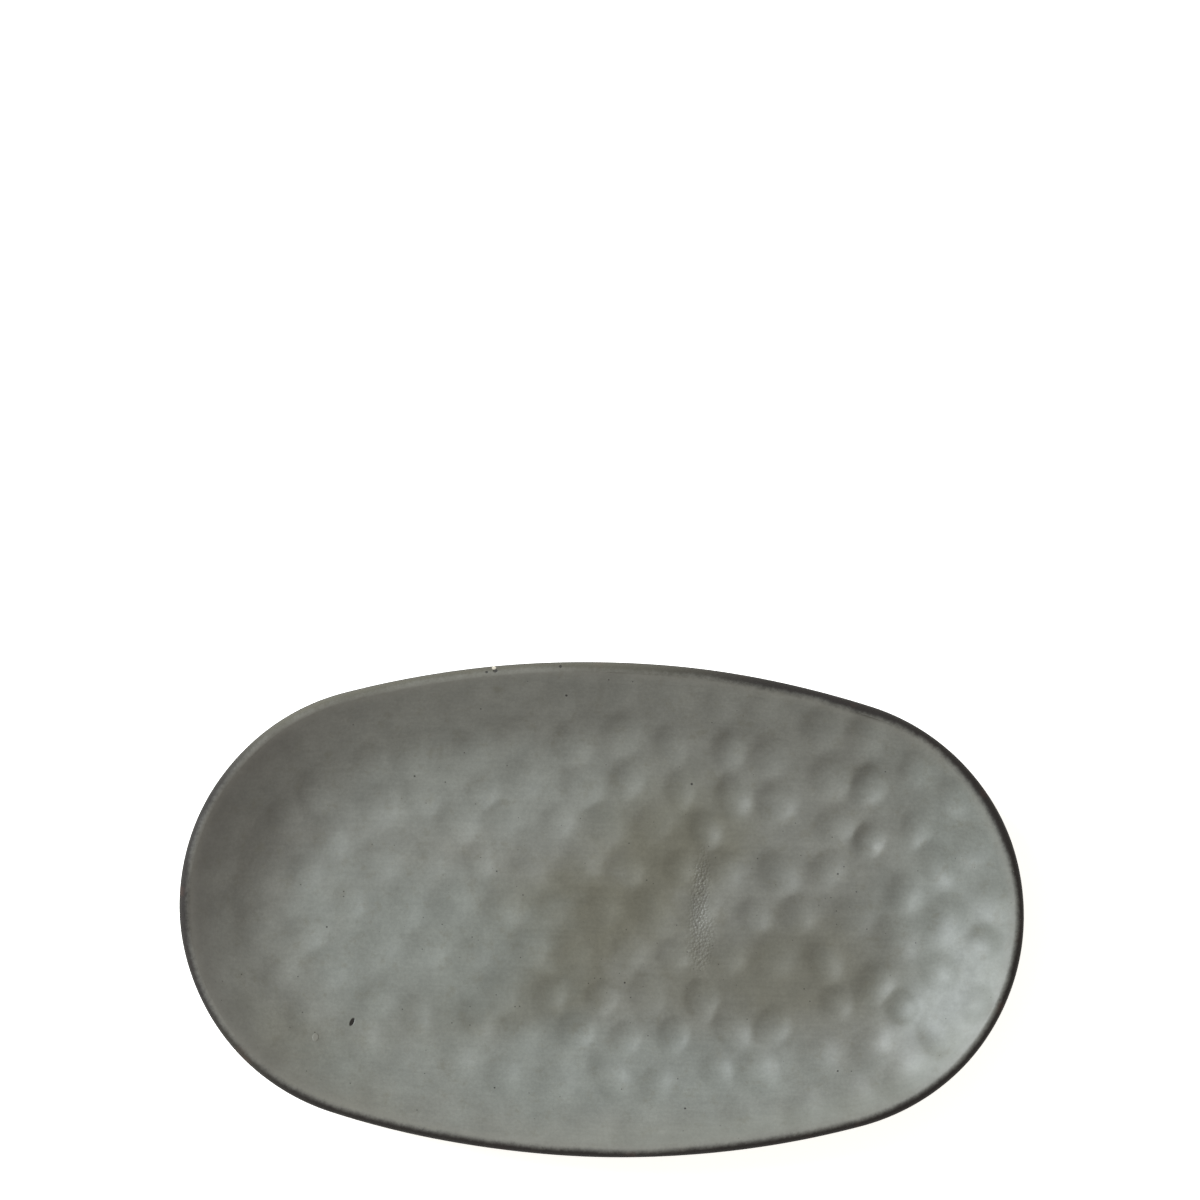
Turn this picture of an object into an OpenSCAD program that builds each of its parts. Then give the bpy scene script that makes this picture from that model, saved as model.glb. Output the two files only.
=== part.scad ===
// Oval stoneware serving dish: a thrown-and-pressed clay slab with a round lip and a dimpled inside,
// a bare clay foot ring underneath, and separate glaze coats on the inside, lip, outside and base.
// X runs along the dish and +Z is up. The origin is the middle of the plane that the foot stands on.

/* [Outline] */
// Length over the lip
dish_length = 355; // [300:1:420]
// Width over the lip, which comes out within a tenth of a millimetre
dish_width = 208; // [176:1:250]

/* [Section] */
// Height from the table to the top of the lip
dish_height = 31; // [25:0.5:38]
// Thickness of the clay slab, which is the same in the floor, the wall and the lip
clay_thickness = 4.4; // [3.6:0.1:5.4]
// Thickness of every glaze coat
glaze_thickness = 0.6; // [0.4:0.05:0.8]
// Slope of the wall above level
wall_angle = 32; // [27:1:40]
// Radius of the bend between floor and wall, at the middle of the clay
bend_radius = 60; // [50:1:72]

/* [Foot] */
// Height of the foot ring, from the table to the underside of the clay floor
foot_height = 5; // [4.8:0.1:7]
// Width of the foot ring's section
foot_width = 7; // [5:0.5:9]
// Strip of level glazed base between the bend and the bare strip outside the foot ring
base_strip = 1.4; // [0.6:0.1:4]
// Bevel on the two bottom edges of the foot ring
foot_bevel = 1.2; // [0.6:0.1:2]
// Strip of clay left bare on each side of the foot ring
bare_margin = 3; // [1.5:0.5:5]

/* [Dimples] */
// Distance between neighbouring dimples
dimple_pitch = 21; // [19:0.5:27]
// Width of one dimple
dimple_width = 17; // [13:0.5:18]
// Depth of a dimple at the +X end, where the paddle was pressed hardest
dimple_depth = 1.6; // [0.8:0.05:2]
// Share of that depth which is lost by the -X end
dimple_fade = 0.6; // [0:0.05:0.8]
// Least strip left between two dimples, and between a dimple and the bend
dimple_gap = 0.5; // [0.2:0.1:2]

/* [Hidden] */
$fn = 96;

// The outline is an oval of four arcs: two ends about (+-end_centre, 0) and two sides about (0, -+side_centre).
// Centres in the ratio 7 to 24 lie 25 apart, so all four arcs meet smoothly at whole multiples of one step.
arc_step = round(100 * (dish_length - dish_width) / 12) / 100;
half_length = dish_length / 2;
half_width = half_length - 6 * arc_step;
end_centre = 7 * arc_step;
side_centre = 24 * arc_step;
end_radius = half_length - end_centre;
side_radius = half_width + side_centre;
// Direction in which each end arc meets its side arcs, from the X axis
join_angle = atan2(24, 7);
// How far the clipping shapes run past the dish
clear = 40;

// The section follows the middle of the clay: level floor, bend, straight wall, and a round lip at its end.
half_clay = clay_thickness / 2;
glaze_face = half_clay + glaze_thickness;
floor_mid = foot_height + half_clay;
lip_mid = dish_height - glaze_face;
bend_rise = bend_radius * (1 - cos(wall_angle));
bend_run = bend_radius * sin(wall_angle);
floor_inset = glaze_face + (lip_mid - floor_mid - bend_rise) / tan(wall_angle) + bend_run;
foot_inset = floor_inset + base_strip + bare_margin;
// Number of flats in the bend and round the lip
bend_flats = 5;
lip_flats = 12;

dimple_radius = dimple_width / 2;

// Inset of a plan point from the edge of the lip, which is negative outside the dish.
function in_end(p) = abs(p.x) > end_centre && atan2(abs(p.y), abs(p.x) - end_centre) < join_angle;
function arc_centre(p) =
    in_end(p) ? [sign(p.x) * end_centre, 0] : [0, p.y < 0 ? side_centre : -side_centre];
function inset(p) = (in_end(p) ? end_radius : side_radius) - norm(p - arc_centre(p));

// Section outlines. X is 0 at the edge of the lip and negative inside the dish.
// skin() runs at a height above the middle of the clay, from the floor's inner end out to the lip.
function skin(height, reach) = [
    [-reach, floor_mid + height],
    for (i = [0:bend_flats])
        let (a = wall_angle * i / bend_flats, r = bend_radius - height)
        [-floor_inset + r * sin(a), floor_mid + bend_radius - r * cos(a)],
    [-glaze_face - height * sin(wall_angle), lip_mid + height * cos(wall_angle)]
];
// lip() is a half circle about the end of the wall, from inside to outside.
function lip(r) = [
    for (i = [1:lip_flats - 1])
        let (a = wall_angle + 90 - 180 * i / lip_flats)
        [-glaze_face + r * cos(a), lip_mid + r * sin(a)]
];
function backwards(list) = [for (i = [len(list) - 1:-1:0]) list[i]];
function last(list) = list[len(list) - 1];

// Dimple middles: every other row is shifted by half a pitch, and each one wanders a little from its place.
// Only those that lie wholly on the level floor are kept.
// Two neighbours that wander straight at each other still keep the gap.
wander_reach = (dimple_pitch - dimple_width - dimple_gap) / sqrt(8);
rows = ceil(half_width / (dimple_pitch * sin(60)));
columns = ceil(half_length / dimple_pitch);
dimples = [
    for (row = [-rows:rows], column = [-columns:columns])
        let (
            even = [(column + (row % 2 == 0 ? 0 : 0.5)) * dimple_pitch, row * dimple_pitch * sin(60)],
            wander = [sin(157 * column + 283 * row), sin(211 * column - 97 * row + 40)],
            p = even + wander_reach * wander
        )
        if (inset(p) > floor_inset + dimple_radius + dimple_gap) p
];
function depth_at(p) = dimple_depth * (1 - dimple_fade * (half_length - p.x) / dish_length);

// ---- Shapes ----

// Turns a section about the four arcs of the outline. Each piece is a full turn clipped to its share of the plan,
// so that neighbours meet in one plane. The section can read $reach, which is how far in from the lip it may go.
module around_outline() {
    share = (half_width + clear) / 24;
    for (side = [-1, 1]) {
        intersection() {
            translate([side * end_centre, 0, 0])
                rotate_extrude()
                translate([end_radius, 0])
                let ($reach = end_radius) children();
            translate([0, 0, -clear])
                linear_extrude(dish_height + 2 * clear)
                polygon([
                    [side * end_centre, 0],
                    [side * (end_centre + 7 * share), 24 * share],
                    [side * (half_length + clear), 24 * share],
                    [side * (half_length + clear), -24 * share],
                    [side * (end_centre + 7 * share), -24 * share]
                ]);
        }
        intersection() {
            translate([0, -side * side_centre, 0])
                rotate_extrude()
                translate([side_radius, 0])
                let ($reach = half_width + 1) children();
            translate([0, 0, -clear])
                linear_extrude(dish_height + 2 * clear)
                polygon([
                    [-end_centre, 0],
                    [end_centre, 0],
                    [end_centre + 7 * share, side * 24 * share],
                    [-end_centre - 7 * share, side * 24 * share]
                ]);
        }
    }
}

// The dish's section between two heights above the middle of the clay, without the lip.
module coat_section(low, high)
    polygon(concat(skin(low, $reach), backwards(skin(high, $reach))));

// A ball that dents a flat face at height 0 by the given depth, cut off a little above the face.
module dent(ball, depth, rise)
    intersection() {
        translate([0, 0, ball - depth]) sphere(r = ball);
        translate([0, 0, -2 * depth]) cylinder(r = 2 * dimple_width, h = 2 * depth + rise);
    }

// The floor's dimples, each sunk by the same ball into the clay and, less the coat, into the glaze.
module floor_dents(lift, rise)
    for (p = dimples) {
        depth = depth_at(p);
        ball = (dimple_radius * dimple_radius + depth * depth) / (2 * depth);
        translate([p.x, p.y, floor_mid + half_clay + lift])
            dent(ball - lift, depth, rise);
    }

// ---- Sub-parts ----

// The fired clay: floor, wall and round lip in one slab, dimpled inside.
module clay_dish()
    color("#8a7763")
    difference() {
        around_outline()
            polygon(concat(
                skin(half_clay, $reach), lip(half_clay), backwards(skin(-half_clay, $reach))
            ));
        floor_dents(0, 1);
    }

// The coil of bare clay that the dish stands on.
module foot_ring()
    color("#b39a7c")
    around_outline()
    translate([-foot_inset - foot_width, 0])
    polygon([
        [foot_bevel, 0],
        [foot_width - foot_bevel, 0],
        [foot_width, foot_bevel],
        [foot_width, foot_height],
        [0, foot_height],
        [0, foot_bevel]
    ]);

// The grey-green coat over the floor and the wall inside, which follows the dimples.
module inside_glaze()
    color("#7f8079")
    difference() {
        union() {
            around_outline() coat_section(half_clay, glaze_face);
            floor_dents(0, glaze_thickness / 2);
        }
        floor_dents(glaze_thickness, 1);
    }

// The iron-brown coat where the glaze runs thin over the lip.
module lip_glaze()
    color("#4b4038")
    around_outline()
    polygon(concat(
        [last(skin(half_clay, $reach))], lip(half_clay), [last(skin(-half_clay, $reach))],
        [last(skin(-glaze_face, $reach))], backwards(lip(glaze_face)), [last(skin(glaze_face, $reach))]
    ));

// The coat outside, from the lip down the wall and in to the wiped strip beside the foot.
module outside_glaze()
    color("#77786f")
    around_outline()
    polygon(concat(
        skin(-half_clay, foot_inset - bare_margin), backwards(skin(-glaze_face, foot_inset - bare_margin))
    ));

// The island of glaze under the floor, inside the foot ring.
module base_glaze()
    color("#77786f")
    around_outline()
    translate([-$reach, foot_height - glaze_thickness])
    square([$reach - foot_inset - foot_width - bare_margin, glaze_thickness]);

clay_dish();
foot_ring();
inside_glaze();
lip_glaze();
outside_glaze();
base_glaze();
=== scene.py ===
"""Oval stoneware serving dish: fine glazed surfaces around the packed clay-and-glaze frame."""

import math

import bpy
import numpy as np
from mathutils import Matrix, Vector


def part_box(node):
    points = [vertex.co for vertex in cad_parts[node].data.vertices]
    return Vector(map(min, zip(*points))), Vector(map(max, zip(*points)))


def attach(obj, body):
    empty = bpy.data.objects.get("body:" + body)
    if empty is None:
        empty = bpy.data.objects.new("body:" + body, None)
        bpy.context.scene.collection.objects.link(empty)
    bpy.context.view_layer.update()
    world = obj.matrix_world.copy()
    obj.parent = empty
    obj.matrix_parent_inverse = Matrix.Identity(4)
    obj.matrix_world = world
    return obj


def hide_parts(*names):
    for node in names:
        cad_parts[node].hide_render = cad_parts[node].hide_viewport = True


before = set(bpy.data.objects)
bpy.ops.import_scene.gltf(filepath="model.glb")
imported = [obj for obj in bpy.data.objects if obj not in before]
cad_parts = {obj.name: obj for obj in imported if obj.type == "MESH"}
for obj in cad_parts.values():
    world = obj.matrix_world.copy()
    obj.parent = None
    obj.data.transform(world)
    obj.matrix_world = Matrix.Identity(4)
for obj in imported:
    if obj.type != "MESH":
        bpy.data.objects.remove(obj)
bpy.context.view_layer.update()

bl_info = {
    "name": "Stoneware Serving Dish",
    "version": (1, 0, 0),
    "blender": (4, 5, 0),
    "location": "3D View > Sidebar > Dish",
    "description": "Builds an oval dimpled stoneware dish with its glaze coats, foot and studio stage",
    "category": "Object",
}

MM = 0.001
SHARP_ANGLE = math.radians(50)


# ---- Sizes and colours that a user may change ----


def frame_size(node, axis):
    """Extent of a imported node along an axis, in metres."""
    low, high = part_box(node)
    return high[axis] - low[axis]


def length(label, words, default):
    """A property that holds a length in metres."""
    return bpy.props.FloatProperty(
        name=label,
        description=words,
        default=default,
        min=0.0,
        unit="LENGTH",
        subtype="DISTANCE",
        precision=5,
    )


def linear(hex_colour):
    """An sRGB hex colour turned to the linear red, green, blue and alpha that shaders take."""
    parts = [int(hex_colour[i : i + 2], 16) / 255 for i in (1, 3, 5)]
    return tuple(p / 12.92 if p <= 0.04045 else ((p + 0.055) / 1.055) ** 2.4 for p in parts) + (1.0,)


def colour(label, words, hex_colour):
    """A property that holds a colour, given as sRGB hex."""
    return bpy.props.FloatVectorProperty(
        name=label, description=words, default=linear(hex_colour), size=4, min=0.0, max=1.0, subtype="COLOR"
    )


class DishSizes(bpy.types.PropertyGroup):
    """Sizes of the dish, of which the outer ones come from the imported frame."""

    length: length("Length", "Length over the lip", frame_size("lip_glaze", 0))
    width: length("Width", "Width over the lip", frame_size("lip_glaze", 1))
    height: length("Height", "Table to the top of the lip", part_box("lip_glaze")[1].z)
    foot_height: length("Foot height", "Table to the underside of the clay", frame_size("foot_ring", 2))
    foot_length: length("Foot length", "Length over the foot ring", frame_size("foot_ring", 0))
    foot_width: length("Foot section", "Width of the foot ring's section", 7 * MM)
    base_length: length("Base glaze length", "Length of the glazed island", frame_size("base_glaze", 0))
    glaze: length("Glaze", "Thickness of a glaze coat", frame_size("base_glaze", 2))
    clay: length("Clay", "Thickness of the clay slab", 4.4 * MM)
    bare_margin: length("Bare margin", "Clay left bare beside the foot", 3 * MM)
    bend_radius: length("Bend", "Radius of the bend at the middle of the clay", 60 * MM)
    wall_angle: bpy.props.FloatProperty(
        name="Wall slope",
        description="Slope of the wall above level",
        default=math.radians(32),
        subtype="ANGLE",
    )
    dimple_pitch: length("Dimple pitch", "Distance between neighbouring dimples", 21 * MM)
    dimple_width: length("Dimple width", "Width of one dimple", 17 * MM)
    dimple_depth: length("Dimple depth", "Depth of the firmest dimples", 1.9 * MM)
    dimple_gap: length("Dimple gap", "Least strip between two dimples on the floor", 0.5 * MM)
    dimple_inset: length("Dimple inset", "Lip's edge to the outermost row of dimples", 14 * MM)


class DishColours(bpy.types.PropertyGroup):
    """Colours of the fired clay and of the glaze where it is thick, thin and broken."""

    field: colour("Field", "Grey-green glaze of even thickness", "#6B6B65")
    # Cool also paints light on the right end wall, over the glaze's own blue-grey.
    cool: colour("Cool", "Blue-grey where the glaze lies thick", "#6E716C")
    olive: colour("Olive", "Khaki where the glaze is thinner over the floor", "#5C5A4F")
    umber: colour("Umber", "Brownish grey where the glaze is thin on the wall", "#56534F")
    # Pale is a painted highlight: the sheen just inside the lip at the lower right, not glaze pooling.
    pale: colour("Pale", "Pale grey where the glaze pools below the lip", "#85887F")
    halo: colour("Halo", "Pale olive band beside the lip", "#76746D")
    iron: colour("Iron", "Dark brown where the glaze breaks over the lip", "#1E1A17")
    rust: colour("Rust", "Reddish brown patches in the break", "#33251F")
    speck: colour("Speck", "Iron specks and pinholes", "#151210")
    chip: colour("Chip", "Freshly chipped body at the lip", "#B9B2A4")
    clay: colour("Clay", "Bare fired stoneware", "#8C7A62")
    clay_dark: colour("Clay shade", "Darker flashes on the bare stoneware", "#6C573F")
    floor: colour("Floor", "Studio floor", "#F2F1EE")


class StageSettings(bpy.types.PropertyGroup):
    """Where the studio's camera and lights stand."""

    view_width: length("View width", "Width of the view at the height of the lip", 0.5035)
    dish_drop: length("Drop", "How far below the view's middle the dish lies", 0.1298)
    aside: bpy.props.FloatProperty(
        name="Aside",
        description="How far right of the dish the view's middle lies",
        default=-0.0008,
        unit="LENGTH",
    )
    turn: bpy.props.FloatProperty(
        name="Turn",
        description="Turn of the dish in the view, clockwise",
        default=math.radians(1.51),
        subtype="ANGLE",
    )
    lens: bpy.props.FloatProperty(
        name="Lens", description="Focal length in millimetres", default=250.0, min=20.0
    )
    key_power: bpy.props.FloatProperty(
        name="Key light", description="Key light's power in watts", default=41.0
    )
    table_glow: bpy.props.FloatProperty(
        name="Table glow", description="Strength of the light that comes up through the table", default=0.8
    )
    fill: bpy.props.FloatProperty(
        name="Fill", description="Strength of the even light all round", default=0.52
    )
    key_colour: colour("Key colour", "Colour of the key light", "#EDF4F8")
    fill_colour: colour("Fill colour", "Colour of the even light all round", "#FFF8F0")


# ---- The dish's form, as functions of where on the outline and how far in ----


class Form:
    """The oval outline and the section that is carried round it, in metres.

    The outline is four arcs, two ends and two sides. Their centres lie in the ratio 7 to 24, which is the
    ratio at which the arcs meet smoothly when the centres are a whole number of steps apart.
    """

    # Points along each end arc and each side arc.
    AROUND_END = 168
    AROUND_SIDE = 152

    # Rows of dimples along the lip, and their steps as a share of the pitch.
    WALL_DIMPLE_ROWS = 3
    WALL_DIMPLE_SPREAD = 1.04

    # Centre and reach along x and y of the places where dimples are worn, firm and crisp.
    WORN = ((5 * MM, -5 * MM), (50 * MM, 40 * MM))
    FIRM = ((95 * MM, 45 * MM), (75 * MM, 45 * MM))
    CRISP = ((28 * MM, -45 * MM), (55 * MM, 20 * MM))

    def __init__(self, sizes):
        self.sizes = sizes
        step = (sizes.length - sizes.width) / 12
        self.half_length = sizes.length / 2
        self.half_width = sizes.width / 2
        self.end_centre = 7 * step
        self.side_centre = 24 * step
        self.end_radius = self.half_length - self.end_centre
        self.side_radius = self.half_width + self.side_centre
        self.join = math.atan2(24, 7)
        self.half_clay = sizes.clay / 2
        self.glaze_face = self.half_clay + sizes.glaze
        self.floor_mid = sizes.foot_height + self.half_clay
        self.lip_mid = sizes.height - self.glaze_face
        self.bend_run = sizes.bend_radius * math.sin(sizes.wall_angle)
        bend_rise = sizes.bend_radius * (1 - math.cos(sizes.wall_angle))
        wall_run = (self.lip_mid - self.floor_mid - bend_rise) / math.tan(sizes.wall_angle)
        self.floor_inset = self.glaze_face + wall_run + self.bend_run
        self.foot_inset = self.half_length - sizes.foot_length / 2
        self.base_inset = self.half_length - sizes.base_length / 2
        self.directions = self.sample_directions()
        self.dimples = self.place_dimples()

    def sample_directions(self):
        """Directions of the outline's normal, spaced evenly along each of the four arcs."""
        turn = math.pi - self.join
        quarters = [
            np.linspace(-self.join, self.join, self.AROUND_END, endpoint=False),
            np.linspace(self.join, turn, self.AROUND_SIDE, endpoint=False),
            np.linspace(turn, 2 * math.pi - turn, self.AROUND_END, endpoint=False),
            np.linspace(2 * math.pi - turn, 2 * math.pi - self.join, self.AROUND_SIDE, endpoint=False),
        ]
        return np.concatenate(quarters)

    def plan(self, inset, shrink=1.0):
        """Plan points at insets from the lip's edge: the arc's centre plus what is left of its radius along
        the normal, all scaled towards the middle by shrink. Arrays of insets give one row each."""
        way = self.directions[None, :]
        inset = np.atleast_1d(inset)[:, None]
        shrink = np.atleast_1d(shrink)[:, None]
        at_end = np.abs(np.cos(way)) > math.cos(self.join) - 1e-9
        centre_x = np.where(at_end, self.end_centre * np.sign(np.cos(way)), 0)
        centre_y = np.where(at_end, 0, -self.side_centre * np.sign(np.sin(way)))
        radius = np.where(at_end, self.end_radius, self.side_radius) - inset
        return (centre_x + radius * np.cos(way)) * shrink, (centre_y + radius * np.sin(way)) * shrink

    def inset_of(self, x, y):
        """Inset of plan points: the radius of the arc that they lie under, less their distance from its
        centre."""
        in_end = np.arctan2(np.abs(y), np.abs(x) - self.end_centre) < self.join
        in_end &= np.abs(x) > self.end_centre
        to_end = self.end_radius - np.hypot(np.abs(x) - self.end_centre, y)
        to_side = self.side_radius - np.hypot(x, np.abs(y) + self.side_centre)
        return np.where(in_end, to_end, to_side)

    def skin(self, height, wall_rings, bend_rings):
        """Insets, heights and slopes of a line at a height above the middle of the clay, from the lip's
        tangent point down the straight wall and round the bend to the level floor."""
        slope = self.sizes.wall_angle
        mid_inset = np.linspace(self.glaze_face, self.floor_inset - self.bend_run, wall_rings, endpoint=False)
        wall = (
            mid_inset + height * math.sin(slope),
            self.lip_mid - (mid_inset - self.glaze_face) * math.tan(slope) + height * math.cos(slope),
            np.full(wall_rings, slope),
        )
        angle = np.linspace(slope, 0, bend_rings)
        radius = self.sizes.bend_radius
        bend = (
            self.floor_inset - (radius - height) * np.sin(angle),
            self.floor_mid + radius - (radius - height) * np.cos(angle),
            angle,
        )
        return [np.concatenate(pair) for pair in zip(wall, bend)]

    def floor_dimples(self):
        """Middles and pattern numbers of the dimples on the level floor: even rows shifted by half a pitch in
        turn, each dimple strayed by sines of its row and column, so little that no two touch."""
        sizes = self.sizes
        stray = (sizes.dimple_pitch - sizes.dimple_width - sizes.dimple_gap) / math.sqrt(8)
        rise = sizes.dimple_pitch * math.sin(math.radians(60))
        rows = math.ceil(self.half_width / rise)
        columns = math.ceil(self.half_length / sizes.dimple_pitch)
        row, column = np.mgrid[-rows : rows + 1, -columns : columns + 1].reshape(2, -1)
        x = (column + 0.5 * (row % 2)) * sizes.dimple_pitch
        y = row * rise
        x = x + stray * np.sin(np.radians(157 * column + 283 * row))
        y = y + stray * np.sin(np.radians(211 * column - 97 * row + 40))
        keep = self.inset_of(x, y) > self.floor_inset + sizes.dimple_width / 2 + sizes.dimple_gap
        return np.stack([x, y, row, column])[:, keep]

    def wall_dimples(self):
        """Middles and pattern numbers of the dimples round the bend and the wall: rows that run along the lip
        at even insets, each divided into steps of about one pitch and strayed by sines of its numbers."""
        sizes = self.sizes
        stray = sizes.dimple_pitch / 9
        lowest = self.floor_inset - 3 * MM
        rows = []
        for row, inset in enumerate(np.linspace(sizes.dimple_inset, lowest, self.WALL_DIMPLE_ROWS)):
            x, y = (line[0] for line in self.plan(inset))
            run = np.concatenate([[0], np.cumsum(np.hypot(np.diff(x), np.diff(y)))])
            count = round(run[-1] / (self.WALL_DIMPLE_SPREAD * sizes.dimple_pitch))
            number = np.arange(count)
            place = (number + 0.5 * row) % count * run[-1] / count
            x = np.interp(place, run, x) + stray * np.sin(np.radians(157 * number + 83 * row))
            y = np.interp(place, run, y) + stray * np.sin(np.radians(211 * number - 97 * row))
            rows.append(np.stack([x, y, np.full(count, row + 9), number]))
        return np.concatenate(rows, axis=1)

    def place_dimples(self):
        """All dimples with their middle, a firmness that grows from the left end to the right, is less in the
        middle and fades up the wall except at the right end, a radius, a stretch along a direction of their
        own, and how softly the edge is rounded."""
        sizes = self.sizes
        x, y, row, column = np.concatenate([self.floor_dimples(), self.wall_dimples()], axis=1)

        def near(centre, reach):
            """A bell curve that is 1 at a centre and falls away with a reach of its own along x and y."""
            return np.exp(-(((x - centre[0]) / reach[0]) ** 2) - ((y - centre[1]) / reach[1]) ** 2)

        across = np.clip((x + 0.1) / 0.2, 0, 1)
        worn, firm, crisp = near(*self.WORN), near(*self.FIRM), near(*self.CRISP)
        right_end = np.clip((x - 0.06) / 0.06, 0, 1)
        up_wall = np.clip((self.inset_of(x, y) - 0.014) / 0.022, 0, 1)
        firmness = (0.36 + 0.28 * across**2 * (3 - 2 * across)) * (1 - 0.3 * worn) + 0.34 * firm
        firmness = firmness * (up_wall + (1 - up_wall) * (0.3 + 0.55 * right_end))
        firmness = firmness + 0.12 * crisp
        firmness = firmness * (1 + 0.22 * np.sin(np.radians(131 * column + 71 * row)))
        radius = sizes.dimple_width / 2 * (0.95 + 0.12 * np.sin(np.radians(89 * column - 163 * row)))
        stretch = 1.08 + 0.08 * np.sin(np.radians(61 * column + 197 * row))
        turn = np.radians(90 + 40 * np.sin(np.radians(137 * column + 59 * row)))
        softness = 0.24 - 0.17 * crisp + 0.04 * np.sin(np.radians(173 * column + 41 * row))
        return np.stack([x, y, firmness, radius, stretch, turn, softness])

    def dimple_share(self, x, y):
        """How deep each plan point is pressed, from 0 to about 1. One dimple is an oval ball's cap: 1 less
        the square of the distance over its radius, with its edge softened as by a coat of glaze. Neighbours
        join by the fourth root of the sum of fourth powers."""
        total = np.zeros_like(x)
        for dimple_x, dimple_y, firmness, radius, stretch, turn, softness in self.dimples.T:
            near = (np.abs(x - dimple_x) < 2 * radius) & (np.abs(y - dimple_y) < 2 * radius)
            to_x, to_y = x[near] - dimple_x, y[near] - dimple_y
            along = (to_x * math.cos(turn) + to_y * math.sin(turn)) / (radius * stretch)
            across = (to_y * math.cos(turn) - to_x * math.sin(turn)) * stretch / radius
            cap = softness * np.log1p(np.exp((1 - along**2 - across**2) / softness))
            total[near] += (cap * firmness) ** 4
        return total**0.25

    def press(self, x, y, z, way, slope):
        """Moves surface points straight into the clay by the dimples' depth and a slow unevenness, which is a
        sum of sines 60 to 140 mm long. Each result is a point, less its depth along the surface's normal."""
        share = self.dimple_share(x, y)
        slow = np.sin(x / 0.0183 + 1.3) * np.sin(y / 0.0125 + 0.4) + np.sin(x / 0.0121 - y / 0.0170)
        slow += 0.7 * np.sin(x / 0.0087 + y / 0.0093 + 0.6 * np.sin(x / 0.021))
        slow_depth = 0.11 * MM * slow * np.clip((self.inset_of(x, y) - 0.004) / 0.02, 0, 1)
        depth = self.sizes.dimple_depth * share + slow_depth
        x = x + depth * np.sin(slope) * np.cos(way)
        y = y + depth * np.sin(slope) * np.sin(way)
        z = z - depth * np.cos(slope)
        return x, y, z, share

    def hand_made(self, x, y, z):
        """Lets the lip wander as a hand-finished lip does: points are drawn in and down by sums of sines
        round the outline, up to 0.5 mm at the lip and not at all at the floor."""
        rise = np.clip((z - self.floor_mid) / (self.sizes.height - self.floor_mid), 0, 1) ** 2
        turn = np.arctan2(y / self.half_width, x / self.half_length)
        draw = 0.25 * (2 + np.sin(3 * turn + 0.7) + 0.6 * np.sin(7 * turn + 2.1) + 0.4 * np.sin(13 * turn))
        sink = 0.2 * (2 + np.sin(2 * turn + 1.9) + 0.7 * np.sin(5 * turn + 0.3) + 0.3 * np.sin(11 * turn + 1))
        scale = 1 - rise * draw * 0.5 * MM / np.hypot(x, y).clip(0.02)
        return x * scale, y * scale, z - rise * sink * 0.5 * MM


# ---- Meshes from grids ----


def ring_faces(rings, around, closed):
    """Corner numbers of the four-sided faces between neighbouring rings of points, as one array. A closed
    set of rings also joins the last ring to the first."""
    pairs = rings if closed else rings - 1
    ring, spot = np.mgrid[0:pairs, 0:around]
    after, beside = (ring + 1) % rings, (spot + 1) % around
    corners = [ring * around + spot, ring * around + beside, after * around + beside, after * around + spot]
    return np.stack(corners, axis=-1).reshape(-1, 4)


def pole_faces(pole, first, around):
    """Corner numbers of the triangles that join a ring, starting at point first, to a pole."""
    spot = np.arange(around)
    return np.stack([np.full(around, pole), first + (spot + 1) % around, first + spot], axis=-1)


def signed_volume(points, faces):
    """Six times the volume inside the faces, positive when they point outwards: the sum of each triangle's
    corner a dotted with the cross product of b and c."""
    fans = [faces[:, [0, i, i + 1]] for i in range(1, faces.shape[1] - 1)]
    triangles = points[np.concatenate(fans)]
    return np.einsum("ij,ij->", triangles[:, 0], np.cross(triangles[:, 1], triangles[:, 2]))


def make_piece(name, grid, values, node_name, material, poles=False):
    """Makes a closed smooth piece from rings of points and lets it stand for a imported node.

    grid is (rings, around, 3). Ring-shaped pieces join their last ring to their first, and plate-shaped
    pieces (poles=True) end in a point at the mean of the first and of the last ring. values are numbers
    per point that the materials read by name.
    """
    rings, around = grid.shape[:2]
    points = grid.reshape(-1, 3)
    quads = ring_faces(rings, around, closed=not poles)
    caps = np.empty((0, 3), int)
    if poles:
        points = np.concatenate([points, [grid[0].mean(0)], [grid[-1].mean(0)]])
        top, bottom = rings * around, rings * around + 1
        caps = np.concatenate(
            [pole_faces(top, 0, around), pole_faces(bottom, (rings - 1) * around, around)[:, ::-1]]
        )
        values = {k: np.concatenate([v.ravel(), [v[0].mean()], [v[-1].mean()]]) for k, v in values.items()}
    if signed_volume(points, quads) + (signed_volume(points, caps) if poles else 0) < 0:
        quads, caps = quads[:, ::-1], caps[:, ::-1]
    mesh = bpy.data.meshes.new(name)
    mesh.from_pydata(points.tolist(), [], quads.tolist() + caps.tolist())
    for label, numbers in values.items():
        layer = mesh.attributes.new(label, "FLOAT", "POINT")
        layer.data.foreach_set("value", numbers.ravel().astype(np.float32))
    mesh.shade_smooth()
    mesh.set_sharp_from_angle(angle=SHARP_ANGLE)
    mesh.materials.append(material)
    if mesh.validate():
        raise RuntimeError(f"{name} has a bad face")
    piece = bpy.data.objects.new(name, mesh)
    bpy.context.scene.collection.objects.link(piece)
    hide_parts(node_name)
    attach(piece, "root")
    return piece


def section_grid(form, inset, height):
    """Points of section points carried round the outline, one ring for each section point."""
    x, y = form.plan(inset)
    z = np.broadcast_to(np.asarray(height)[:, None], x.shape)
    return x, y, z


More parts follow.
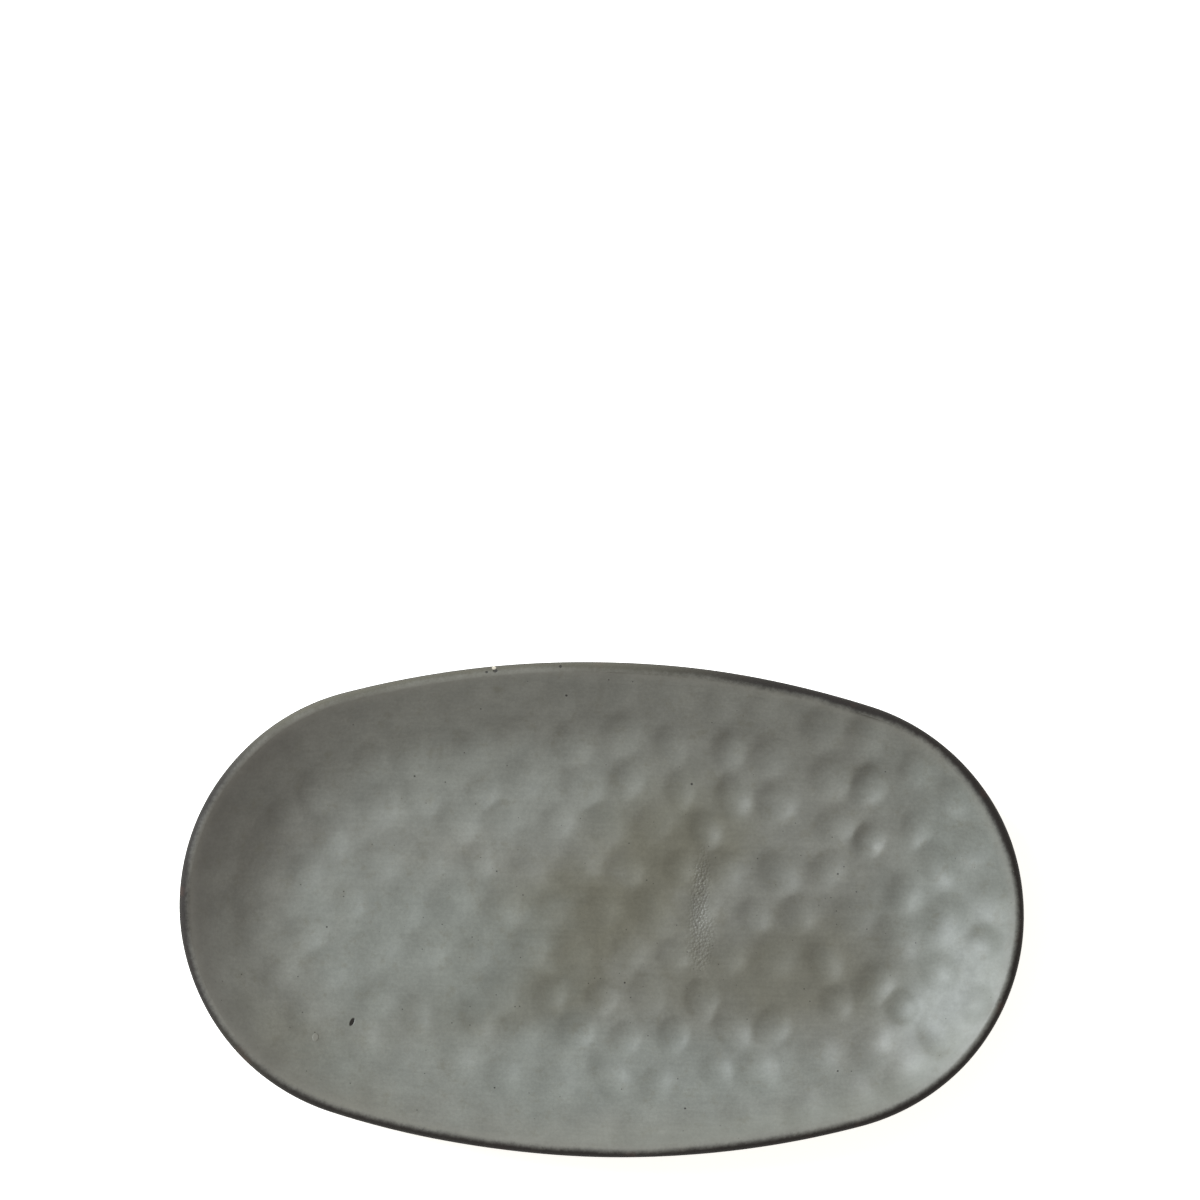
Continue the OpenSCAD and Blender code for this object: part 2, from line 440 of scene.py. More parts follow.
def pressed_plate(form, height, wall_rings, bend_rings, floor_rings):
    """A dimpled surface at a height above the middle of the clay: the skin line carried round the outline,
    then the floor's edge shrunk towards the middle. Gives the points, how deep each is pressed, and how far
    each lies from the lip's crest along the section. The floor's rings lie a little closer near its edge."""
    inset, z, slope = form.skin(height, wall_rings, bend_rings)
    shrink = np.linspace(1, 0, floor_rings + 1)[1:-1] ** 0.9
    inset = np.concatenate([inset, np.full(len(shrink), inset[-1])])
    z = np.concatenate([z, np.full(len(shrink), z[-1])])
    slope = np.concatenate([slope, np.zeros(len(shrink))])
    shrink = np.concatenate([np.ones(wall_rings + bend_rings), shrink])
    x, y = form.plan(inset, shrink)
    way = np.broadcast_to(form.directions[None, :], x.shape)
    x, y, z, share = form.press(x, y, np.broadcast_to(z[:, None], x.shape), way, slope[:, None])
    from_crest = form.sizes.wall_angle * form.glaze_face + form.inset_of(x, y) - inset[0]
    return np.stack(form.hand_made(x, y, z), axis=-1), share, from_crest


def lip_arc(form, radius, rings):
    """A half circle about the wall's end, from the inside over the crest to the outside, carried round the
    outline. Gives the points and how far each lies from the crest along the glaze, minus outside."""
    angle = np.linspace(form.sizes.wall_angle + math.pi / 2, form.sizes.wall_angle - math.pi / 2, rings)
    inset = form.glaze_face - radius * np.cos(angle)
    grid = section_grid(form, inset, form.lip_mid + radius * np.sin(angle))
    from_crest = np.broadcast_to(((angle - math.pi / 2) * form.glaze_face)[:, None], grid[0].shape)
    return np.stack(form.hand_made(*grid), axis=-1), from_crest


# ---- Materials ----


def add(tree, kind, inputs=None, **settings):
    """Adds a shader node to a tree with its settings, and gives each named input a value or a link. A node
    given as a value is linked by the first of its outputs that is in use."""
    made = tree.nodes.new("ShaderNode" + kind)
    for key, value in settings.items():
        setattr(made, key, value)
    for socket, value in (inputs or {}).items():
        if isinstance(value, bpy.types.Node):
            value = next(output for output in value.outputs if output.enabled)
        if isinstance(value, bpy.types.NodeSocket):
            tree.links.new(value, made.inputs[socket])
        else:
            made.inputs[socket].default_value = value
    return made


def per(size_mm):
    """Scale of a pattern whose features are this many millimetres apart, for coordinates in metres."""
    return 1000 / size_mm


def new_material(name):
    """An empty node material and its tree."""
    material = bpy.data.materials.new(name)
    material.use_nodes = True
    material.node_tree.nodes.clear()
    return material, material.node_tree


def zone(tree, *limits):
    """1 inside a zone and 0 outside: the product of soft steps, each from 0 where a value is at its first
    limit to 1 where it is at its second."""
    inside = 1.0
    for value, outer, inner in limits:
        step = add(
            tree,
            "MapRange",
            {"Value": value, "From Min": outer, "From Max": inner},
            interpolation_type="SMOOTHSTEP",
        )
        inside = add(tree, "Math", {0: step, 1: inside}, operation="MULTIPLY")
    return inside


def waver(tree, value, pattern, reach):
    """A value with a pattern of 0 to 1 added to it, centred so that it goes half the reach up and down."""
    centred = add(tree, "Math", {0: pattern, 1: 0.5}, operation="SUBTRACT")
    return add(tree, "Math", {0: centred, 1: reach, 2: value}, operation="MULTIPLY_ADD")


def mottle(tree, place, grain, levels, results=(0.0, 1.0)):
    """A cloudy pattern stepped softly between two of its levels, from one result to the other. Its grain is a
    size in millimetres, how many finer layers it has and how strong they are."""
    size_mm, detail, rough = grain
    texture = {"Vector": place, "Scale": per(size_mm), "Detail": detail, "Roughness": rough}
    cloud = add(tree, "TexNoise", texture)
    steps = dict(zip(("From Min", "From Max", "To Min", "To Max"), (*levels, *results)))
    return add(tree, "MapRange", {"Value": cloud, **steps}, interpolation_type="SMOOTHSTEP")


def patches(tree, place, rows, cloud_mm=38):
    """The strongest of some oval patches of the dish. Each row is a patch's centre and half size in
    millimetres, how ragged its edge is, its turn in degrees and its strength: the distance from its centre
    over its size, made uneven by clouds, is stepped softly from 0 outside to its strength inside."""
    strongest = 0.0
    for centre_mm, size_mm, ragged, turn, strength in rows:
        turned = add(
            tree,
            "VectorRotate",
            {"Vector": place, "Center": [c * MM for c in centre_mm] + [0.0], "Angle": -math.radians(turn)},
            rotation_type="Z_AXIS",
        )
        shift = [-c / s for c, s in zip(centre_mm, size_mm)] + [0.0]
        scale = [per(s) for s in size_mm] + [0.0]
        scaled = add(tree, "Mapping", {"Vector": turned, "Location": shift, "Scale": scale})
        reach = add(tree, "VectorMath", {0: scaled}, operation="LENGTH")
        if ragged:
            cloud = {"Vector": place, "Scale": per(cloud_mm), "Detail": 4.0, "Roughness": 0.6}
            uneven = waver(tree, reach, add(tree, "TexNoise", cloud), ragged)
            patch = zone(tree, (uneven, 1.6, 0.4))
        else:
            patch = zone(tree, (reach, 1.15, 0.75))
        patch = add(tree, "Math", {0: patch, 1: strength}, operation="MULTIPLY")
        strongest = add(tree, "Math", {0: patch, 1: strongest}, operation="MAXIMUM")
    return strongest


def specks(tree, place, apart_mm, radius_mm, share, strength=1.0):
    """Round specks, one in some of the cells of a scattered pattern, each with a radius of its own."""
    cells = add(tree, "TexVoronoi", {"Vector": place, "Scale": per(apart_mm)})
    chance = add(tree, "SeparateColor", {0: cells.outputs["Color"]})
    growth = add(tree, "Math", {0: chance.outputs["Green"], 1: 0.6}, operation="ADD")
    radius = add(tree, "Math", {0: growth, 1: radius_mm / apart_mm}, operation="MULTIPLY")
    reach = add(tree, "Math", {0: cells.outputs["Distance"], 1: radius}, operation="DIVIDE")
    picked = add(tree, "Math", {0: chance.outputs["Red"], 1: share}, operation="LESS_THAN")
    picked = add(tree, "Math", {0: picked, 1: strength}, operation="MULTIPLY")
    return add(tree, "Math", {0: zone(tree, (reach, 1.1, 0.6)), 1: picked}, operation="MULTIPLY")


def lay_over(tree, base, layers):
    """Lays colours over a base, one after another. Each layer is a share of 0 to 1, the strength at which it
    lies where the share is 1, and its colour."""
    for share, strength, tone in layers:
        part = add(tree, "Math", {0: share, 1: strength}, operation="MULTIPLY")
        base = add(tree, "Mix", {0: part, 6: base, 7: tone}, data_type="RGBA")
    return base


# Rows for patches(): centre and half size in mm, raggedness, turn in degrees, strength.
OLIVE_PATCHES = (
    ((24, 30), (32, 26), 2.0, 0, 1.0),
    ((-18, -14), (62, 30), 2.2, 24, 1.0),
    ((72, -26), (72, 24), 2.2, 0, 0.7),
    ((-122, -68), (44, 14), 1.8, -36, 0.4),
)
UMBER_PATCHES = (((-142, 42), (46, 50), 2.0, 40, 0.35),)
# Blue-grey glaze patches. The bottom row makes the bottom wall paler and bluer.
COOL_AND_LIT_PATCHES = (
    ((-80, -14), (52, 34), 2.0, -12, 0.8),
    ((12, -68), (95, 20), 1.8, 0, 0.8),
    # Right end: partly the glaze's own blue-grey, partly painted light, paler and bluer where the key light
    # falls and reflects on the right wall.
    ((152, 2), (34, 74), 1.8, 0, 0.8),
    ((-55, 48), (80, 22), 2.0, 0, 0.4),
)
SPECKLED_PATCHES = (((30, 0), (100, 46), 1.5, 0, 1.0),)
CRAWLED_STRIP = (((42, -12), (5, 12), 0.7, 0, 0.8), ((41, 4), (3.5, 20), 0.7, -4, 1.0))
SCAR = (((-104.0, -50.2), (0.9, 1.9), 0.0, -25, 1.0),)
FLAKE = (((-119.0, -56.9), (1.3, 1.7), 0.0, 0, 1.0),)
NICKS = (
    ((-47.3, 98.9), (1.0, 0.8), 0.0, 0, 1.0),
    ((-50.9, 98.2), (0.6, 0.5), 0.0, 0, 1.0),
    ((-20.0, 101.4), (0.6, 0.6), 0.0, 0, 1.0),
)
CHIP = (((-48.0, 100.1), (0.9, 0.8), 0.0, 0, 1.0),)


def stoneware_glaze(colours, name):
    """Satin reactive glaze, dipped and fired on stoneware: a stony grey-green that runs to olive where it is
    thin and to blue-grey where it lies thick, breaks to dark iron brown over the lip, and is peppered with
    iron specks. The eye sees a soft sheen, cloudy patches and a fine eggshell texture."""
    # Some of the colour is painted light: blue-grey on the right end wall, a pale band inside the lip at the
    # lower right, and olive over the break on the upper-left lip.
    material, tree = new_material(name)
    place = add(tree, "TexCoord").outputs["Object"]
    crest = add(tree, "Attribute", attribute_name="from_crest").outputs["Fac"]
    pooled = add(tree, "Attribute", attribute_name="pooled").outputs["Fac"]

    # Patches, then the mottling and the brush lines that darken and lighten them.
    olive = patches(tree, place, OLIVE_PATCHES)
    brush = add(tree, "Mapping", {"Vector": place, "Scale": (0.035, 1.0, 1.0)})
    lines = add(tree, "TexNoise", {"Vector": brush, "Scale": per(1.7), "Detail": 3.0, "Roughness": 0.6})
    streaks = add(
        tree,
        "MapRange",
        {"Value": lines, "From Min": 0.25, "From Max": 0.75, "To Min": 0.965, "To Max": 1.035},
        interpolation_type="SMOOTHSTEP",
    )
    clouds = mottle(tree, place, (15, 6.0, 0.62), (0.3, 0.7), (0.9, 1.08))
    grain = mottle(tree, place, (1.3, 4.0, 0.65), (0.25, 0.75), (0.92, 1.08))
    grain = add(tree, "Math", {0: grain, 1: streaks}, operation="MULTIPLY")
    shade = add(tree, "Math", {0: clouds, 1: grain}, operation="MULTIPLY")
    tone = add(tree, "CombineColor", {0: shade, 1: shade, 2: shade})

    # Specks, pinholes, and the strip where the glaze crawled and cracked.
    speckled = patches(tree, place, SPECKLED_PATCHES)
    speckled = add(tree, "Math", {0: olive, 1: speckled}, operation="MAXIMUM")
    crowd = add(tree, "Math", {0: speckled, 1: 0.2, 2: 0.05}, operation="MULTIPLY_ADD")
    fine = specks(tree, place, 2.6, 0.25, crowd, 0.6)
    bold = specks(tree, place, 9.0, 0.4, 0.22, 0.85)
    dark = add(tree, "Math", {0: fine, 1: bold}, operation="MAXIMUM")
    pinhole = specks(tree, place, 48.0, 0.42, 0.4)
    pinhole = add(tree, "Math", {0: pinhole, 1: patches(tree, place, SCAR)}, operation="MAXIMUM")
    crawled = patches(tree, place, CRAWLED_STRIP, cloud_mm=9)
    cracks = mottle(tree, place, (1.2, 3.0, 0.7), (0.45, 0.65), (0.0, 0.6))
    cracked = add(tree, "Math", {0: crawled, 1: cracks}, operation="MULTIPLY")
    flake = patches(tree, place, FLAKE)

    # The break over the lip, by the distance from its crest, which wanders and frays.
    right = add(tree, "VectorMath", {0: place, 1: (1.0, 0.0, 0.0)}, operation="DOT_PRODUCT")
    far_right = add(tree, "VectorMath", {0: place, 1: (0.5, 1.0, 0.0)}, operation="DOT_PRODUCT")
    near_right = add(tree, "VectorMath", {0: place, 1: (0.5, -1.0, 0.0)}, operation="DOT_PRODUCT")
    far_left = add(tree, "VectorMath", {0: place, 1: (-0.9, 1.0, 0.0)}, operation="DOT_PRODUCT")
    wander = add(tree, "TexNoise", {"Vector": place, "Scale": per(38), "Detail": 3.0, "Roughness": 0.5})
    fray = add(tree, "TexNoise", {"Vector": place, "Scale": per(2.0), "Detail": 5.0, "Roughness": 0.75})
    break_line = waver(tree, crest, wander, 3.2 * MM)
    break_line = waver(tree, break_line, fray, 2.6 * MM)
    break_line = waver(tree, break_line, zone(tree, (far_right, 0.085, 0.125)), -0.8 * MM)
    lower_line = waver(tree, crest, fray, 4.16 * MM)
    thin = zone(tree, (break_line, 17.0 * MM, 1.0 * MM), (right, -0.06, -0.17))
    halo = zone(tree, (break_line, 5.5 * MM, 1.0 * MM))
    # Painted highlight: a pale band just inside the break at the lower right, where the key light's sheen
    # lies on the wall.
    band = ((break_line, 1.5 * MM, 4.5 * MM), (break_line, 16.0 * MM, 7.0 * MM), (near_right, 0.05, 0.12))
    # Painted light: the iron break turned olive near the crest on the upper-left lip, the side the key light
    # falls on.
    lit_rim_side = ((far_left, 0.03, 0.11), (right, -0.168, -0.13), (crest, -3.8 * MM, -2.6 * MM))
    iron_layers = (
        (mottle(tree, place, (14, 3.0, 0.5), (0.6, 0.75)), 1.0, tuple(colours.rust)),
        (mottle(tree, place, (1.0, 3.0, 0.7), (0.5, 0.68), (0.0, 0.7)), 1.0, tuple(colours.speck)),
        # Painted light on the upper-left lip.
        (zone(tree, *lit_rim_side), 0.62, tuple(colours.olive)),
    )
    iron = lay_over(tree, tuple(colours.iron), iron_layers)
    broken = zone(tree, (break_line, 2.3 * MM, -1.2 * MM), (lower_line, -8.5 * MM, -6.0 * MM))
    flecks = add(tree, "Math", {0: specks(tree, place, 4.5, 0.3, 0.3), 1: broken}, operation="MULTIPLY")
    over_lip = zone(tree, (crest, -5.0 * MM, -4.0 * MM))
    nick = add(tree, "Math", {0: patches(tree, place, NICKS), 1: over_lip}, operation="MULTIPLY")
    chip = add(tree, "Math", {0: patches(tree, place, CHIP), 1: over_lip}, operation="MULTIPLY")

    # Colour: the glaze's patches, partly painted light, the mottling, then what lies over both, a painted
    # highlight among it.
    patch_layers = (
        (olive, 1.0, tuple(colours.olive)),
        (patches(tree, place, UMBER_PATCHES), 1.0, tuple(colours.umber)),
        # Blue-grey glaze, partly painted light on the right end wall.
        (patches(tree, place, COOL_AND_LIT_PATCHES), 1.0, tuple(colours.cool)),
        (pooled, 0.15, tuple(colours.cool)),
    )
    base = lay_over(tree, tuple(colours.field), patch_layers)
    base = add(tree, "Mix", {0: 1.0, 6: base, 7: tone}, data_type="RGBA", blend_type="MULTIPLY")
    over_layers = (
        (mottle(tree, place, (6, 5.0, 0.7), (0.52, 0.72)), 0.4, tuple(colours.olive)),
        (dark, 1.0, tuple(colours.speck)),
        (pinhole, 1.0, tuple(colours.speck)),
        (cracked, 1.0, tuple(colours.umber)),
        (flake, 0.55, tuple(colours.halo)),
        (thin, 0.4, tuple(colours.umber)),
        (halo, 0.35, tuple(colours.halo)),
        # Painted highlight inside the lip at the lower right.
        (zone(tree, *band), 0.2, tuple(colours.pale)),
        (broken, 1.0, iron),
        (flecks, 0.5, tuple(colours.halo)),
        (nick, 0.8, tuple(colours.speck)),
        (chip, 0.8, tuple(colours.chip)),
    )
    base = lay_over(tree, base, over_layers)

    # Gloss: satin, duller in the break.
    satin = mottle(tree, place, (7, 4.0, 0.6), (0.25, 0.75), (0.42, 0.5))
    gloss = add(tree, "Math", {0: broken, 1: 0.3, 2: satin}, operation="MULTIPLY_ADD")

    # Relief: eggshell and brush lines, pebbles in the crawled strip, pits, the flake and the rough break.
    eggshell = add(tree, "TexNoise", {"Vector": place, "Scale": per(2.2), "Detail": 3.0, "Roughness": 0.55})
    pebbles = add(tree, "TexVoronoi", {"Vector": place, "Scale": per(1.1)})
    pebbles = add(tree, "Math", {0: crawled, 1: pebbles}, operation="MULTIPLY")
    pits = add(tree, "Math", {0: pinhole, 1: nick}, operation="MAXIMUM")
    rough = add(tree, "TexNoise", {"Vector": place, "Scale": per(1.1), "Detail": 3.0, "Roughness": 0.7})
    rough = add(tree, "Math", {0: broken, 1: rough}, operation="MULTIPLY")
    heights = ((eggshell, 0.16), (lines, 0.06), (pebbles, -1.6), (pits, -1.0), (flake, 0.8), (rough, 0.7))
    relief = 0.0
    for pattern, height in heights:
        relief = add(tree, "Math", {0: pattern, 1: height, 2: relief}, operation="MULTIPLY_ADD")
    bump = add(tree, "Bump", {"Height": relief, "Strength": 0.8, "Distance": 0.25 * MM})

    surface = {"Base Color": base, "Roughness": gloss, "Normal": bump, "IOR": 1.42}
    add(tree, "OutputMaterial", {"Surface": add(tree, "BsdfPrincipled", surface)})
    return material


def bare_stoneware(colours):
    """Bare stoneware, sponged and fired: a dry, sandy buff with darker flashes and fine dark grog, which the
    eye reads as matt and slightly gritty."""
    material, tree = new_material("bare_fired_stoneware")
    place = add(tree, "TexCoord").outputs["Object"]
    flash = add(tree, "TexNoise", {"Vector": place, "Scale": per(30), "Detail": 4.0})
    flash = add(tree, "MapRange", {"Value": flash, "From Min": 0.35, "From Max": 0.7})
    grog = add(tree, "TexVoronoi", {"Vector": place, "Scale": per(2.2)})
    grog = add(tree, "MapRange", {"Value": grog, "From Min": 0.2, "From Max": 0.1, "To Max": 0.6})
    layers = ((flash, 1.0, tuple(colours.clay_dark)), (grog, 1.0, tuple(colours.speck)))
    base = lay_over(tree, tuple(colours.clay), layers)
    grit = add(tree, "TexNoise", {"Vector": place, "Scale": per(0.6), "Detail": 3.0})
    bump = add(tree, "Bump", {"Height": grit, "Strength": 0.6, "Distance": 0.2 * MM})
    surface = {"Base Color": base, "Roughness": 0.85, "Normal": bump, "IOR": 1.5}
    add(tree, "OutputMaterial", {"Surface": add(tree, "BsdfPrincipled", surface)})
    return material


def shared_material(name, maker):
    """The material of this name, made the first time that it is asked for."""
    found = bpy.data.materials.get(name)
    return found if found else maker()


def glaze_of(scene):
    """The one glaze that all four coats share."""
    return shared_material(
        "reactive_stoneware_glaze",
        lambda: stoneware_glaze(scene.dish_colours, "reactive_stoneware_glaze"),
    )


def clay_of(scene):
    """The bare clay of the slab and the foot ring."""
    return shared_material("bare_fired_stoneware", lambda: bare_stoneware(scene.dish_colours))


# ---- Pieces ----


class DISH_OT_clay(bpy.types.Operator):
    """Adds the clay slab: a dimpled upper face, a round lip and a plain underside"""

    bl_idname = "dish.clay"
    bl_label = "Clay Dish"

    LIP_RINGS = 14
    MIDDLE_RINGS = 10

    def execute(self, context):
        form = Form(context.scene.dish_sizes)
        upper, _, _ = pressed_plate(form, form.half_clay, wall_rings=10, bend_rings=14, floor_rings=40)
        lip, _ = lip_arc(form, form.half_clay, self.LIP_RINGS)
        inset, height, _ = form.skin(-form.half_clay, wall_rings=14, bend_rings=8)
        under = np.stack(form.hand_made(*section_grid(form, inset, height)), axis=-1)
        floor_edge = under[-1:] * [1, 1, 0]
        shrink = np.linspace(1, 0, self.MIDDLE_RINGS + 2)[1:-1, None, None]
        middle = floor_edge * shrink + [0, 0, under[-1, 0, 2]]
        grid = np.concatenate([upper[::-1], lip[1:-1], under, middle])
        clay = clay_of(context.scene)
        make_piece("clay_dish", grid, {}, "clay_dish", clay, poles=True)
        return {"FINISHED"}


class DISH_OT_foot(bpy.types.Operator):
    """Adds the foot ring: a rounded band with fine turning lines on its sides"""

    bl_idname = "dish.foot"
    bl_label = "Foot Ring"

    CORNER = 1.2 * MM
    LINE_DEPTH = 0.05 * MM
    LINE_PITCH = 0.35 * math.pi * MM
    SIDE_RINGS = 16
    CORNER_RINGS = 7

    def execute(self, context):
        sizes = context.scene.dish_sizes
        form = Form(sizes)
        side = np.linspace(sizes.foot_height, self.CORNER, self.SIDE_RINGS)
        lines = self.LINE_DEPTH * np.abs(np.sin(math.pi * side / self.LINE_PITCH))
        angle = np.linspace(0, math.pi / 2, self.CORNER_RINGS + 1)[1:]
        across = np.concatenate([lines, self.CORNER * (1 - np.cos(angle))])
        up = np.concatenate([side, self.CORNER * (1 - np.sin(angle))])
        inset = form.foot_inset + np.concatenate([across, sizes.foot_width - across[::-1]])
        height = np.concatenate([up, up[::-1]])
        grid = np.stack(section_grid(form, inset, height), axis=-1)
        make_piece("foot_ring", grid, {}, "foot_ring", clay_of(context.scene))
        return {"FINISHED"}


class DISH_OT_inside_glaze(bpy.types.Operator):
    """Adds the coat over the floor and wall inside, with every dimple"""

    bl_idname = "dish.inside_glaze"
    bl_label = "Inside Glaze"

    # Rings down the wall, round the bend and over the floor.
    FACE_RINGS = (22, 26, 70)
    BACK_RINGS = (6, 8, 22)

    def execute(self, context):
        form = Form(context.scene.dish_sizes)
        face, face_share, face_crest = pressed_plate(form, form.glaze_face, *self.FACE_RINGS)
        back, back_share, back_crest = pressed_plate(form, form.half_clay, *self.BACK_RINGS)
        grid = np.concatenate([face[::-1], back])
        values = {
            "pooled": np.concatenate([face_share[::-1], back_share]),
            "from_crest": np.concatenate([face_crest[::-1], back_crest]),
        }
        glaze = glaze_of(context.scene)
        make_piece("inside_glaze", grid, values, "inside_glaze", glaze, poles=True)
        return {"FINISHED"}


class DISH_OT_lip_glaze(bpy.types.Operator):
    """Adds the thin coat that rolls over the lip"""

    bl_idname = "dish.lip_glaze"
    bl_label = "Lip Glaze"

    def execute(self, context):
        form = Form(context.scene.dish_sizes)
        face, face_crest = lip_arc(form, form.glaze_face, rings=30)
        back, back_crest = lip_arc(form, form.half_clay, rings=8)
        grid = np.concatenate([face, back[::-1]])
        crest = np.concatenate([face_crest, back_crest[::-1]])
        values = {"pooled": np.zeros_like(crest), "from_crest": crest}
        make_piece("lip_glaze", grid, values, "lip_glaze", glaze_of(context.scene))
        return {"FINISHED"}


class DISH_OT_outer_glaze(bpy.types.Operator):
    """Adds the coat on the outside wall and the island of glaze inside the foot ring"""

    bl_idname = "dish.outer_glaze"
    bl_label = "Outside and Base Glaze"

    WALL_RINGS = 24
    BEND_RINGS = 12
    STRIP_RINGS = 5
    ISLAND_RINGS = 13
    ISLAND_EDGE_RINGS = 5
    FAR_FROM_CREST = -50 * MM

    def execute(self, context):
        sizes = context.scene.dish_sizes
        form = Form(sizes)
        self.add_outside(context, form, sizes)
        self.add_base(context, form, sizes)
        return {"FINISHED"}

    def add_outside(self, context, form, sizes):
        """The skin line under the clay, in to the wiped strip beside the foot, where it ends in a square
        edge.
        """
        edge = form.foot_inset - sizes.bare_margin
        lines = []
        for height in (-form.glaze_face, -form.half_clay):
            inset, z, _ = form.skin(height, self.WALL_RINGS, self.BEND_RINGS)
            strip = np.linspace(inset[-1], edge, self.STRIP_RINGS + 1)[1:]
            strip_z = np.full(self.STRIP_RINGS, z[-1])
            lines.append((np.concatenate([inset, strip]), np.concatenate([z, strip_z])))
        (face_inset, face_z), (back_inset, back_z) = lines
        inset = np.concatenate([face_inset, back_inset[::-1]])
        z = np.concatenate([face_z, back_z[::-1]])
        grid = np.stack(form.hand_made(*section_grid(form, inset, z)), axis=-1)
        outer_crest = -(form.glaze_face * (math.pi - sizes.wall_angle) - form.glaze_face * math.pi / 2)
        from_crest = np.broadcast_to((outer_crest - (inset - inset[0]))[:, None], grid.shape[:2])
        values = {"pooled": np.zeros(grid.shape[:2]), "from_crest": np.array(from_crest)}
        make_piece(
            "outside_glaze", grid, values, "outside_glaze", glaze_of(context.scene)
        )

    def add_base(self, context, form, sizes):
        """A flat island with a rounded edge, from its middle below round to its middle above."""
        top = sizes.foot_height
        low = top - sizes.glaze
        shrink = np.linspace(0, 1, self.ISLAND_RINGS + 1)[1:]
        angle = np.linspace(-math.pi / 2, 0, self.ISLAND_EDGE_RINGS + 1)[1:]
        over_shrink = np.array([0.7, 0.4, 0.1])
        edge_inset = form.base_inset + sizes.glaze * (1 - np.cos(angle))
        edge_z = top + sizes.glaze * np.sin(angle)
        under_x, under_y = form.plan(np.full(len(shrink), form.base_inset + sizes.glaze), shrink)
        edge_x, edge_y = form.plan(edge_inset)
        over_x, over_y = form.plan(np.full(len(over_shrink), form.base_inset), over_shrink)
        x = np.concatenate([under_x, edge_x, over_x])
        y = np.concatenate([under_y, edge_y, over_y])
        z = np.concatenate([np.full(len(shrink), low), edge_z, np.full(len(over_shrink), top)])
        grid = np.stack([x, y, np.broadcast_to(z[:, None], x.shape)], axis=-1)
        values = {"pooled": np.zeros(x.shape), "from_crest": np.full(x.shape, self.FAR_FROM_CREST)}
        make_piece(
            "base_glaze", grid, values, "base_glaze", glaze_of(context.scene), poles=True
        )


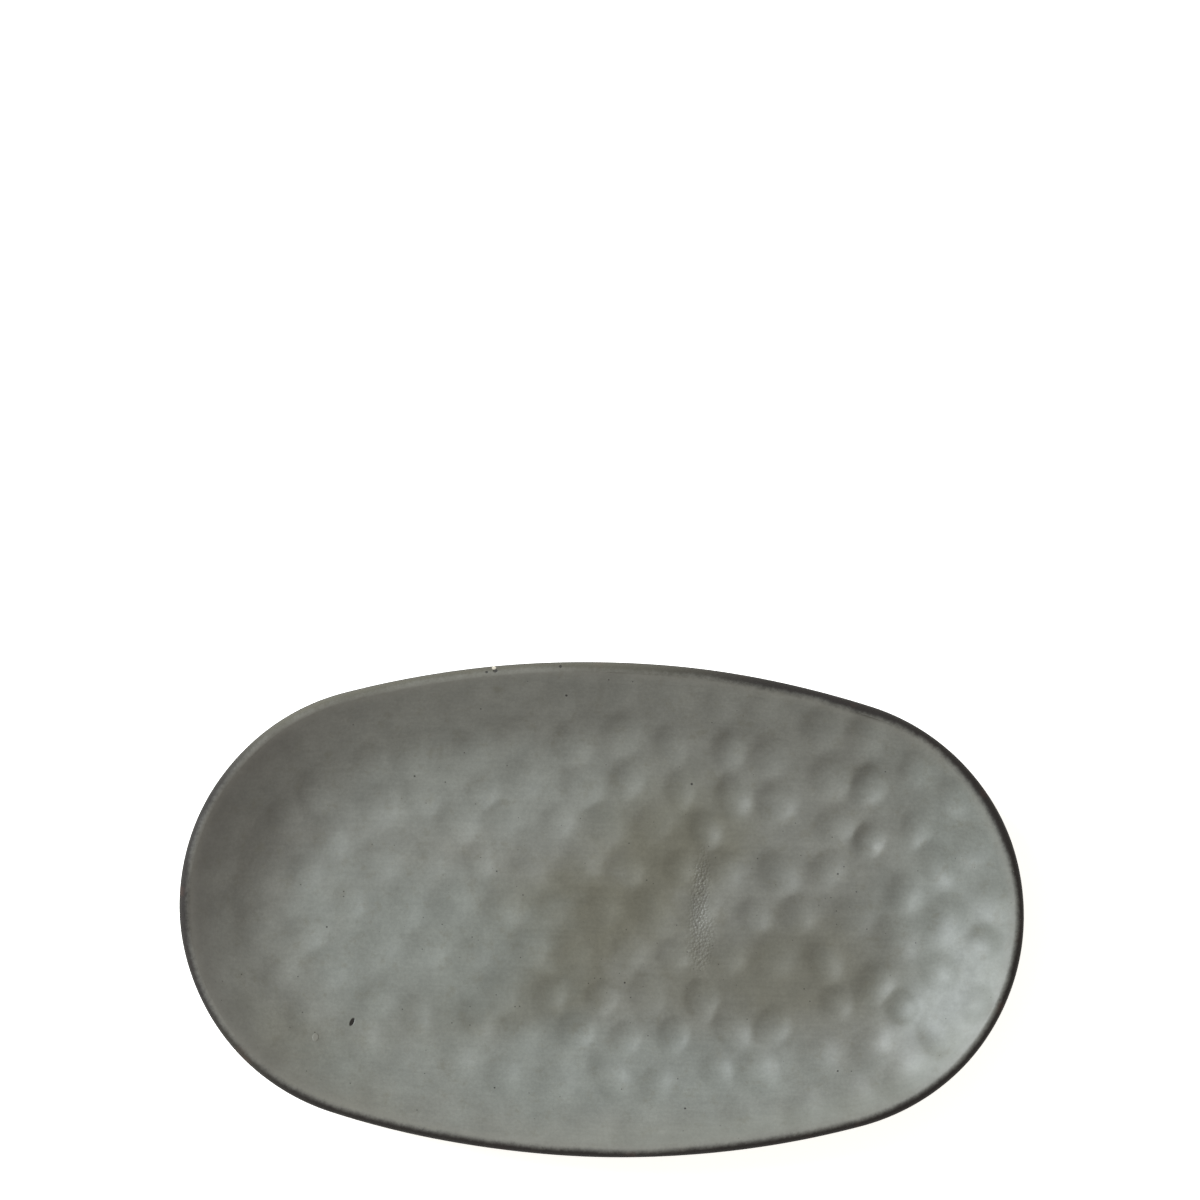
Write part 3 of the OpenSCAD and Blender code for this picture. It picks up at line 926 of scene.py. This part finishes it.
class DISH_OT_stage(bpy.types.Operator):
    """Adds the pale floor, one large soft light from the left, an even fill and the camera above"""

    bl_idname = "dish.stage"
    bl_label = "Studio Stage"

    SENSOR = 36.0
    FLOOR_HALF = 10.0
    KEY_DISTANCE = 1.5
    KEY_SIZE = 0.9
    KEY_HEIGHT = math.radians(38)
    KEY_SIDE = math.radians(149)

    def execute(self, context):
        scene = context.scene
        self.add_floor(scene)
        self.add_light(scene)
        self.add_camera(scene)
        scene.view_settings.view_transform = "Standard"
        return {"FINISHED"}

    def add_floor(self, scene):
        """A level square of pale, matt studio paper."""
        half = self.FLOOR_HALF
        mesh = bpy.data.meshes.new("studio_floor")
        corners = [(-half, -half, 0), (half, -half, 0), (half, half, 0), (-half, half, 0)]
        mesh.from_pydata(corners, [], [(0, 1, 2, 3)])
        material, tree = new_material("matt_studio_paper")
        place = add(tree, "TexCoord").outputs["Object"]
        fibres = add(tree, "TexNoise", {"Vector": place, "Scale": per(1.5)})
        surface = {
            "Base Color": tuple(scene.dish_colours.floor),
            "Roughness": 0.95,
            "Specular IOR Level": 0.2,
            "Normal": add(tree, "Bump", {"Height": fibres, "Strength": 0.1, "Distance": 0.1 * MM}),
            "Emission Color": tuple(scene.dish_colours.floor),
            "Emission Strength": scene.dish_stage.table_glow,
        }
        add(tree, "OutputMaterial", {"Surface": add(tree, "BsdfPrincipled", surface)})
        mesh.materials.append(material)
        floor = bpy.data.objects.new("studio_floor", mesh)
        scene.collection.objects.link(floor)

    def add_light(self, scene):
        """A square soft box aimed at the dish, and a pale world that fills the shade."""
        light = bpy.data.lights.new("soft_box", "AREA")
        light.shape = "SQUARE"
        light.size = self.KEY_SIZE
        light.energy = scene.dish_stage.key_power
        light.color = scene.dish_stage.key_colour[:3]
        box = bpy.data.objects.new("soft_box", light)
        level = math.cos(self.KEY_HEIGHT)
        side = (level * math.cos(self.KEY_SIDE), level * math.sin(self.KEY_SIDE))
        way = Vector((*side, math.sin(self.KEY_HEIGHT)))
        box.location = way * self.KEY_DISTANCE
        box.rotation_euler = way.to_track_quat("Z", "Y").to_euler()
        scene.collection.objects.link(box)
        world = bpy.data.worlds.new("pale_room")
        world.use_nodes = True
        background = world.node_tree.nodes["Background"]
        background.inputs["Color"].default_value = tuple(scene.dish_stage.fill_colour)
        background.inputs["Strength"].default_value = scene.dish_stage.fill
        scene.world = world

    def add_camera(self, scene):
        """A long lens straight above the dish, aimed so that the dish lies low in the view."""
        settings = scene.dish_stage
        lens = bpy.data.cameras.new("camera")
        lens.sensor_width = self.SENSOR
        lens.lens = settings.lens
        distance = settings.view_width * settings.lens / self.SENSOR
        turn = Matrix.Rotation(settings.turn, 3, "Z")
        middle = Vector((0, 0, scene.dish_sizes.height))
        aim = middle + turn @ Vector((settings.aside, settings.dish_drop, 0))
        place = middle + Vector((0, 0, distance))
        back = (place - aim).normalized()
        right = (turn @ Vector((0, 1, 0))).cross(back).normalized()
        up = back.cross(right)
        camera = bpy.data.objects.new("camera", lens)
        camera.matrix_world = Matrix.Translation(place) @ Matrix((right, up, back)).transposed().to_4x4()
        scene.collection.objects.link(camera)
        scene.camera = camera


class DISH_PT_sidebar(bpy.types.Panel):
    """Lists the dish's sizes, colours and the steps that build it"""

    bl_idname = "DISH_PT_sidebar"
    bl_label = "Stoneware Dish"
    bl_space_type = "VIEW_3D"
    bl_region_type = "UI"
    bl_category = "Dish"

    def draw(self, context):
        for group in (context.scene.dish_sizes, context.scene.dish_colours, context.scene.dish_stage):
            box = self.layout.box()
            for key in group.bl_rna.properties.keys():
                if key not in {"rna_type", "name"}:
                    box.prop(group, key)
        for operator in BUILD_STEPS:
            self.layout.operator(operator.bl_idname)


BUILD_STEPS = (
    DISH_OT_clay,
    DISH_OT_foot,
    DISH_OT_inside_glaze,
    DISH_OT_lip_glaze,
    DISH_OT_outer_glaze,
    DISH_OT_stage,
)
CLASSES = (DishSizes, DishColours, StageSettings, *BUILD_STEPS, DISH_PT_sidebar)


def register():
    for cls in CLASSES:
        bpy.utils.register_class(cls)
    bpy.types.Scene.dish_sizes = bpy.props.PointerProperty(type=DishSizes)
    bpy.types.Scene.dish_colours = bpy.props.PointerProperty(type=DishColours)
    bpy.types.Scene.dish_stage = bpy.props.PointerProperty(type=StageSettings)


def unregister():
    del bpy.types.Scene.dish_stage
    del bpy.types.Scene.dish_colours
    del bpy.types.Scene.dish_sizes
    for cls in reversed(CLASSES):
        bpy.utils.unregister_class(cls)


def main():
    """Builds every piece in order."""
    register()
    bpy.ops.dish.clay()
    bpy.ops.dish.foot()
    bpy.ops.dish.inside_glaze()
    bpy.ops.dish.lip_glaze()
    bpy.ops.dish.outer_glaze()
    bpy.ops.dish.stage()


if __name__ == "__main__":
    main()
